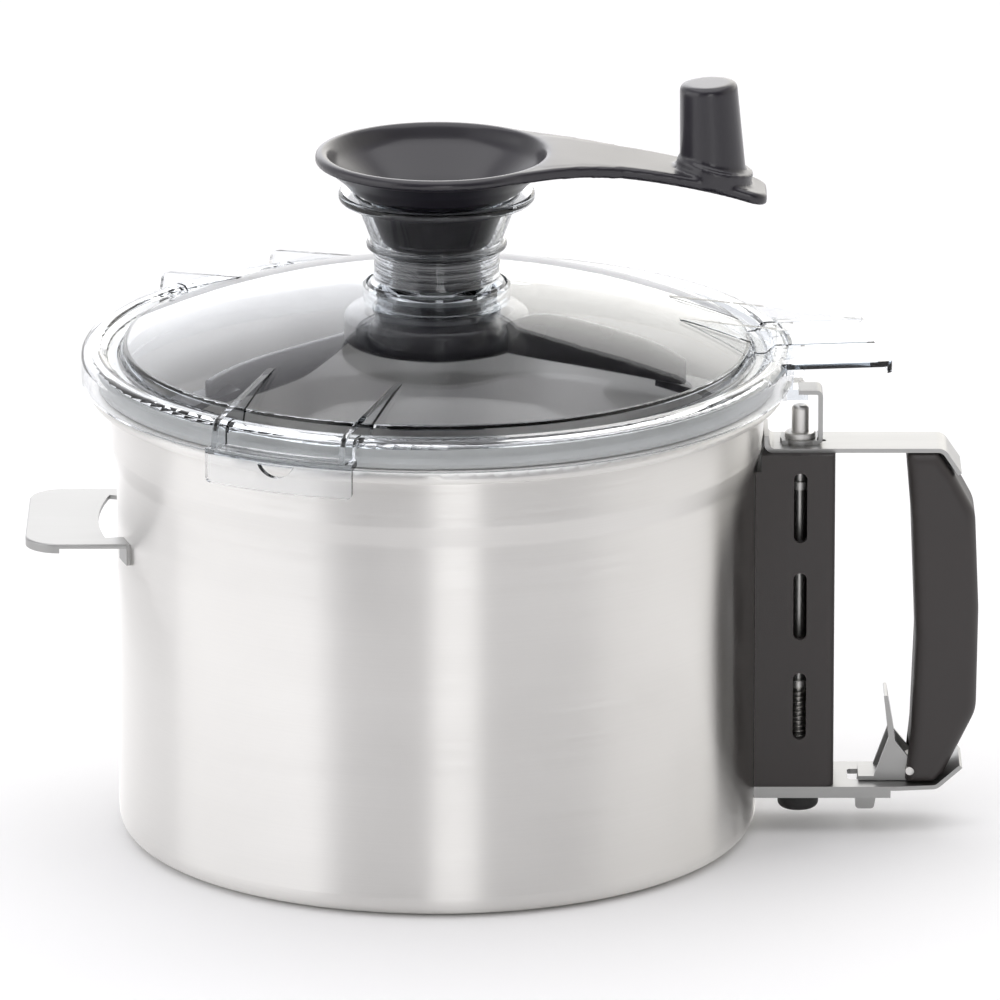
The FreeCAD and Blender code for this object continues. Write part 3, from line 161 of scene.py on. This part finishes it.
def bump(tree, shader, height, depth, strength=1.0):
    made = node(tree, "ShaderNodeBump", {"Height": height, "Distance": depth, "Strength": strength})
    tree.links.new(made.outputs["Normal"], shader.inputs["Normal"])


def shade(colour, factor):
    return tuple(channel * factor for channel in colour)


def brushed_steel(name, colour, rough, streak, anisotropy=0.0):
    """Steel with fine brush lines; streak is the pattern's scale along X, Y and Z."""
    material, tree, shader = start_material(
        name, colour, rough, 1.0, Anisotropic=anisotropy, Anisotropic_Rotation=0.25)
    lines = noise(tree, streak, 3.0, 0.6)
    cloud = noise(tree, (9.0, 9.0, 14.0), 2.0)
    blend = node(tree, "ShaderNodeMath", {0: lines, 1: cloud}, operation="ADD").outputs[0]
    half = node(tree, "ShaderNodeMath", {0: blend, 1: 0.5}, operation="MULTIPLY").outputs[0]
    tree.links.new(remap(tree, half, rough * 0.82, rough * 1.2), shader.inputs["Roughness"])
    tree.links.new(tint(tree, remap(tree, half, 0.0, 1.0), shade(colour, 0.95), colour),
                   shader.inputs["Base Color"])
    bump(tree, shader, lines, 0.00001, 0.35)
    if anisotropy:
        tangent = node(tree, "ShaderNodeTangent", direction_type="RADIAL", axis="Z")
        tree.links.new(tangent.outputs["Tangent"], shader.inputs["Tangent"])
    return material


def moulded_plastic(name, colour, rough, grain, depth, gloss=0.0):
    """Opaque moulded plastic with a fine grain; grain is in grains per metre."""
    material, tree, shader = start_material(
        name, colour, rough, Coat_Weight=gloss, Coat_Roughness=0.16, Coat_IOR=1.5)
    fine = noise(tree, (grain, grain, grain), 3.0, 0.6)
    broad = noise(tree, (22.0, 22.0, 22.0), 2.0)
    tree.links.new(remap(tree, broad, rough * 0.88, rough * 1.14), shader.inputs["Roughness"])
    tree.links.new(tint(tree, remap(tree, broad, 0.0, 1.0), shade(colour, 0.9), shade(colour, 1.12)),
                   shader.inputs["Base Color"])
    bump(tree, shader, fine, depth, 0.6)
    return material


def clear_plastic(name, colour, rough):
    """Clear moulding with a faint ripple."""
    material, tree, shader = start_material(name, colour, rough, 0.0, Transmission_Weight=1.0, IOR=1.45)
    ripple = noise(tree, (45.0, 45.0, 45.0), 2.0)
    bump(tree, shader, ripple, 0.00004, 0.5)
    tree.links.new(remap(tree, ripple, rough * 0.5, rough * 1.6), shader.inputs["Roughness"])
    body = node(tree, "ShaderNodeVolumeAbsorption", {"Color": (0.72, 0.76, 0.8, 1.0), "Density": 55.0})
    output = next(each for each in tree.nodes if each.type == "OUTPUT_MATERIAL")
    tree.links.new(body.outputs["Volume"], output.inputs["Volume"])
    return material


def make_finishes(finish):
    """One material for each of the record's material slots."""
    return {
        "bowl_steel": brushed_steel("Bowl steel", finish.steel, 0.38, (14.0, 14.0, 2200.0), 1.0),
        "bracket_steel": brushed_steel("Bracket steel", finish.bracket, 0.36, (30.0, 1400.0, 900.0)),
        "blade_steel": brushed_steel("Blade steel", finish.bracket, 0.22, (700.0, 700.0, 60.0)),
        "rod_steel": brushed_steel("Rod steel", (0.8, 0.79, 0.77), 0.42, (300.0, 300.0, 2400.0)),
        "spring_steel": brushed_steel("Spring steel", (0.8, 0.78, 0.74), 0.4, (900.0, 900.0, 900.0)),
        "clear_lid": clear_plastic("Clear plastic", finish.clear, 0.03),
        "dark_plastic": moulded_plastic("Crank plastic", finish.crank, 0.3, 2600.0, 0.00002, 0.35),
        "handle_plastic": moulded_plastic("Handle plastic", finish.handle, 0.5, 1800.0, 0.00006),
        "black_rubber": moulded_plastic("Plunger rubber", (0.02, 0.02, 0.02), 0.55, 1500.0, 0.00006),
        "seal_rubber": moulded_plastic("Seal rubber", (0.6, 0.61, 0.6), 0.5, 1200.0, 0.00004),
        "bush_plastic": moulded_plastic("Bush plastic", (0.55, 0.55, 0.53), 0.4, 1200.0, 0.00002),
        "magnet_metal": brushed_steel("Magnet plating", (0.7, 0.7, 0.72), 0.2, (800.0, 800.0, 800.0)),
    }


# ------------------------------------------------------------------ stage
class MIXER_OT_stage(bpy.types.Operator):
    """Add the floor, the softboxes and the camera"""
    bl_idname = "mixer.stage"
    bl_label = "Studio"

    def execute(self, context):
        settings = context.scene.mixer_stage
        build_floor()
        build_lights(context, settings)
        build_camera(context, settings)
        return {"FINISHED"}


def build_floor():
    bpy.ops.object.select_all(action="DESELECT")
    bpy.ops.mesh.primitive_plane_add(size=60.0, location=(0.0, 0.0, -0.0003))
    floor = bpy.context.object
    floor.name = "studio_floor"
    material, tree, shader = start_material(
        "Studio floor", (0.94, 0.94, 0.94), 0.85, 0.0, Specular_IOR_Level=0.1)
    tree.links.new(remap(tree, noise(tree, (3.0, 3.0, 3.0)), 0.8, 0.9), shader.inputs["Roughness"])
    floor.data.materials.append(material)


def softbox(name, azimuth, height, reach, size, power, colour=(1.0, 1.0, 1.0)):
    """A rectangular light at an azimuth from the camera's side, facing the bowl."""
    angle = math.radians(azimuth)
    place = Vector((math.sin(angle) * reach, -math.cos(angle) * reach, height))
    bpy.ops.object.light_add(type="AREA", location=place)
    lamp = bpy.context.object
    lamp.name = name
    lamp.data.shape = "RECTANGLE"
    lamp.data.size, lamp.data.size_y = size
    lamp.data.energy = power
    lamp.data.color = colour
    aim = Vector((0.0, 0.0, 0.12)) - place
    lamp.rotation_euler = aim.to_track_quat("-Z", "Y").to_euler()
    return lamp


# brightness of the light tent's low wall, by azimuth from the camera's side, left negative
TENT_WALL = ((-180, 2.3), (-160, 2.0), (-146, 1.2), (-125, 0.8), (-105, 0.85), (-40, 1.05), (-33, 0.1),
             (0, 0.1), (20, 0.1), (40, 0.1), (55, 0.3), (66, 0.75), (88, 0.95), (102, 0.85), (118, 1.4),
             (150, 2.1), (180, 2.3))
LEFT_TONE = (0.99, 0.99, 1.01)
RIGHT_TONE = (1.0, 0.98, 0.94)
TONE_CHANGE_DEG = -20
ROOF_COLOUR = (0.66, 0.65, 0.68, 1.0)
ROOF_START, ROOF_END = 0.42, 0.7       # heights on the unit sphere where the wall turns into roof


def build_tent(context, brightness):
    """A light tent: light grey above, bright behind, its front wall in broad light and dark panels."""
    world = bpy.data.worlds.new("Light tent")
    world.use_nodes = True
    tree = world.node_tree
    place = node(tree, "ShaderNodeTexCoord").outputs["Generated"]
    axes = node(tree, "ShaderNodeSeparateXYZ", {"Vector": place}).outputs
    toward = node(tree, "ShaderNodeMath", {0: axes["Y"], 1: -1.0}, operation="MULTIPLY").outputs[0]
    azimuth = node(tree, "ShaderNodeMath", {0: axes["X"], 1: toward}, operation="ARCTAN2").outputs[0]
    turn = remap(tree, azimuth, 0.0, 1.0, -math.pi, math.pi)
    wall = node(tree, "ShaderNodeValToRGB", {"Fac": turn})
    stops = wall.color_ramp.elements
    while len(stops) < len(TENT_WALL):
        stops.new(0.5)
    for stop, (degrees, level) in zip(stops, TENT_WALL):
        stop.position = (degrees + 180) / 360
    for stop, (degrees, level) in zip(stops, TENT_WALL):
        stop.color = (*shade(LEFT_TONE if degrees < TONE_CHANGE_DEG else RIGHT_TONE, level), 1.0)
    roof = remap(tree, axes["Z"], 0.0, 1.0, ROOF_START, ROOF_END)
    mix = node(tree, "ShaderNodeMix", data_type="RGBA")
    tree.links.new(roof, mix.inputs["Factor"])
    tree.links.new(wall.outputs["Color"], mix.inputs["A"])
    mix.inputs["B"].default_value = ROOF_COLOUR
    background = tree.nodes["Background"]
    tree.links.new(mix.outputs["Result"], background.inputs["Color"])
    background.inputs["Strength"].default_value = brightness
    context.scene.world = world


def build_lights(context, settings):
    build_tent(context, settings.surround)
    softbox("overhead_softbox", 0.0, 3.2, 0.0, (4.0, 4.0), settings.overhead_power)
    softbox("left_softbox", -72.0, 0.5, 3.0, (3.6, 2.2), settings.left_power)
    softbox("front_strip", 6.5, 0.7, 5.6, (1.6, 2.6), settings.strip_power)


def build_camera(context, settings):
    target = Vector(settings.target)
    away = Vector((0.0, -math.cos(settings.elevation), math.sin(settings.elevation)))
    bpy.ops.object.camera_add(location=target + away * settings.distance)
    camera = bpy.context.object
    camera.name = "product_camera"
    camera.data.lens = settings.lens
    camera.data.clip_end = 200.0
    camera.rotation_euler = (-away).to_track_quat("-Z", "Y").to_euler()
    context.scene.camera = camera
    context.scene.view_settings.view_transform = "Standard"


# ------------------------------------------------------------------ finishes
class MIXER_OT_finishes(bpy.types.Operator):
    """Give every CAD node the finish of its material slot"""
    bl_idname = "mixer.finishes"
    bl_label = "Finishes"

    def execute(self, context):
        made = make_finishes(context.scene.mixer_finish)
        for part in frame["record"]["subparts"]:
            mesh = NODES[part["node"]].data
            mesh.materials.clear()
            mesh.materials.append(made[part["material_slot"]])
        return {"FINISHED"}


# ------------------------------------------------------------------ crank
def copy_of_node(node_name, name):
    """A merged copy of a CAD node's mesh as a new piece."""
    mesh = NODES[node_name].data.copy()
    piece = bpy.data.objects.new(name, mesh)
    bpy.context.scene.collection.objects.link(piece)
    bpy.ops.object.select_all(action="DESELECT")
    piece.select_set(True)
    bpy.context.view_layer.objects.active = piece
    bpy.ops.object.mode_set(mode="EDIT")
    bpy.ops.mesh.select_all(action="SELECT")
    bpy.ops.mesh.remove_doubles(threshold=0.00001)
    bpy.ops.object.mode_set(mode="OBJECT")
    return piece


def soften(piece, voxel, rounds):
    """Remesh a moulding finely and smooth it, so that its joins flow as moulded fillets."""
    remesh = piece.modifiers.new("Remesh", "REMESH")
    remesh.mode = "VOXEL"
    remesh.voxel_size = voxel
    bpy.ops.object.modifier_apply(modifier=remesh.name)
    smooth = piece.modifiers.new("Smooth", "SMOOTH")
    smooth.factor = 0.5
    smooth.iterations = rounds
    bpy.ops.object.modifier_apply(modifier=smooth.name)
    bpy.ops.object.shade_smooth()


def place_grid(name, rows):
    """A strip of faces: a grid whose points are moved, one by one, onto two rows of points in millimetres."""
    count = len(rows[0])
    bpy.ops.object.select_all(action="DESELECT")
    bpy.ops.mesh.primitive_grid_add(x_subdivisions=count - 1, y_subdivisions=1, size=1.0)
    strip = bpy.context.object
    strip.name = strip.data.name = name
    bpy.ops.object.mode_set(mode="EDIT")
    bpy.ops.mesh.select_mode(type="VERT")
    mesh = bmesh.from_edit_mesh(strip.data)
    points = sorted(mesh.verts, key=lambda v: (round(v.co.y, 4), round(v.co.x, 4)))
    for point, goal in zip(points, list(rows[0]) + list(rows[1])):
        bpy.ops.mesh.select_all(action="DESELECT")
        point.select_set(True)
        bpy.ops.transform.translate(value=Vector(goal) * MM - point.co)
    bpy.ops.mesh.select_all(action="SELECT")
    bpy.ops.object.mode_set(mode="OBJECT")
    return strip


def smooth_path(points, steps):
    """Points along a curve that runs through every given point."""
    ends = [points[0]] + list(points) + [points[-1]]
    made = []
    for before, start, stop, after in zip(ends, ends[1:], ends[2:], ends[3:]):
        for step in range(steps):
            t = step / steps
            made.append(tuple(
                0.5 * (2 * b + (c - a) * t + (2 * a - 5 * b + 4 * c - d) * t ** 2
                       + (3 * b - 3 * c + d - a) * t ** 3)
                for a, b, c, d in zip(before, start, stop, after)))
    return made + [tuple(points[-1])]


def apply_modifier(piece, kind, **settings):
    bpy.ops.object.select_all(action="DESELECT")
    piece.select_set(True)
    bpy.context.view_layer.objects.active = piece
    modifier = piece.modifiers.new(kind.title(), kind)
    for key, value in settings.items():
        setattr(modifier, key, value)
    bpy.ops.object.modifier_apply(modifier=modifier.name)


# the crank's root in millimetres: distance from the axis, half width and height of its top
ROOT_FLARE = ((28.0, 34.5, 261.4), (36.0, 30.0, 261.4), (44.0, 25.8, 261.4), (52.0, 22.2, 261.1),
              (60.0, 19.4, 260.4), (68.0, 17.2, 259.5))
ROOT_T = 4.4
RIM_CUT_R = 42.6
CRANK_VOXEL = 0.7
CRANK_SMOOTHING = 7


def flared_root():
    """Web that carries the funnel's rim into the crank's arm on both sides."""
    rows = [[(x, side * half, top) for x, half, top in ROOT_FLARE] for side in (-1, 1)]
    web = place_grid("crank_root", rows)
    apply_modifier(web, "SOLIDIFY", thickness=ROOT_T * MM, offset=-1.0)
    bpy.ops.mesh.primitive_cylinder_add(
        vertices=96, radius=RIM_CUT_R * MM, depth=0.08, location=(0, 0, 0.26))
    core = bpy.context.object
    apply_modifier(web, "BOOLEAN", operation="DIFFERENCE", solver="EXACT", object=core)
    bpy.data.objects.remove(core)
    return web


class MIXER_OT_crank(bpy.types.Operator):
    """Mould the crank with its funnel, arm and knob in one flowing piece"""
    bl_idname = "mixer.crank"
    bl_label = "Crank"

    def execute(self, context):
        web = flared_root()
        crank = copy_of_node("crank_handle", "moulded_crank")
        web.select_set(True)
        bpy.ops.object.join()
        soften(crank, CRANK_VOXEL * MM, CRANK_SMOOTHING)
        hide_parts("crank_handle")
        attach(crank, "crank")
        return {"FINISHED"}


# ------------------------------------------------------------------ wiper
# plan of each wiper blade with the heights of its top and bottom edges, in millimetres
RIGHT_BLADE = ((26.0, -20.0, 199.5, 188.5), (36.0, -24.0, 203.6, 187.5), (47.0, -25.5, 203.2, 186.0),
               (60.0, -27.0, 200.4, 184.0), (74.0, -29.5, 196.8, 182.0), (84.0, -33.5, 193.6, 181.0),
               (91.5, -40.5, 190.6, 181.5))
LEFT_BLADE = ((-31.0, 3.0, 190.5, 188.3), (-40.0, -3.0, 189.5, 182.0), (-50.0, -9.5, 188.4, 176.5),
              (-62.0, -20.0, 187.6, 174.5), (-72.0, -32.0, 187.2, 175.0), (-79.0, -43.0, 186.8, 177.0),
              (-84.0, -51.5, 186.0, 180.0))
BLADE_T = 3.6
BLADE_EDGE = 1.1
BLADE_STEPS = 6


def wiper_blade(name, plan):
    """Standing blade that curves out from the hub under the dome."""
    path = smooth_path(plan, BLADE_STEPS)
    top = [(x, y, high) for x, y, high, low in path]
    foot = [(x, y, low) for x, y, high, low in path]
    blade = place_grid(name, (foot, top))
    apply_modifier(blade, "SOLIDIFY", thickness=BLADE_T * MM, offset=0.0, use_even_offset=True)
    apply_modifier(blade, "BEVEL", width=BLADE_EDGE * MM, segments=3, limit_method="ANGLE",
                   angle_limit=math.radians(50))
    bpy.ops.object.shade_smooth_by_angle(angle=math.radians(35))
    return blade


class MIXER_OT_wiper(bpy.types.Operator):
    """Mould the wiper's two curved blades"""
    bl_idname = "mixer.wiper"
    bl_label = "Wiper"

    def execute(self, context):
        for name, plan, node_name in (("curved_blade_right", RIGHT_BLADE, "wiper_arm_right"),
                                      ("curved_blade_left", LEFT_BLADE, "wiper_arm_left")):
            blade = wiper_blade(name, plan)
            blade.data.materials.append(bpy.data.materials["Crank plastic"])
            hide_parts(node_name)
            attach(blade, "crank")
        return {"FINISHED"}


class MIXER_OT_spring(bpy.types.Operator):
    """Return spring: a smoothed copy of its CAD node, carried by the bowl"""
    bl_idname = "mixer.spring"
    bl_label = "Return spring"

    def execute(self, context):
        spring = copy_of_node("return_spring", "coiled_return_spring")
        bpy.ops.object.shade_smooth_by_angle(angle=math.radians(40))
        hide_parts("return_spring")
        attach(spring, "bowl")
        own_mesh(spring)
        return {"FINISHED"}


# ------------------------------------------------------------------ panel
class MIXER_PT_panel(bpy.types.Panel):
    """Buttons for each group of pieces"""
    bl_label = "Mixer Bowl"
    bl_idname = "MIXER_PT_panel"
    bl_space_type = "VIEW_3D"
    bl_region_type = "UI"
    bl_category = "Mixer Bowl"

    def draw(self, context):
        layout = self.layout
        for operator in OPERATORS:
            layout.operator(operator.bl_idname)
        for group in (context.scene.mixer_stage, context.scene.mixer_finish):
            for name in group.bl_rna.properties.keys():
                if name not in ("rna_type", "name"):
                    layout.prop(group, name)


OPERATORS = (MIXER_OT_finishes, MIXER_OT_crank, MIXER_OT_wiper, MIXER_OT_spring, MIXER_OT_stage)
CLASSES = (MIXER_PG_stage, MIXER_PG_finish) + OPERATORS + (MIXER_PT_panel,)


def register():
    for cls in CLASSES:
        bpy.utils.register_class(cls)
    bpy.types.Scene.mixer_stage = bpy.props.PointerProperty(type=MIXER_PG_stage)
    bpy.types.Scene.mixer_finish = bpy.props.PointerProperty(type=MIXER_PG_finish)


def unregister():
    del bpy.types.Scene.mixer_finish
    del bpy.types.Scene.mixer_stage
    for cls in reversed(CLASSES):
        bpy.utils.unregister_class(cls)


def main():
    register()
    bpy.ops.mixer.finishes()
    bpy.ops.mixer.crank()
    bpy.ops.mixer.wiper()
    bpy.ops.mixer.spring()
    bpy.ops.mixer.stage()


if __name__ == "__main__":
    main()
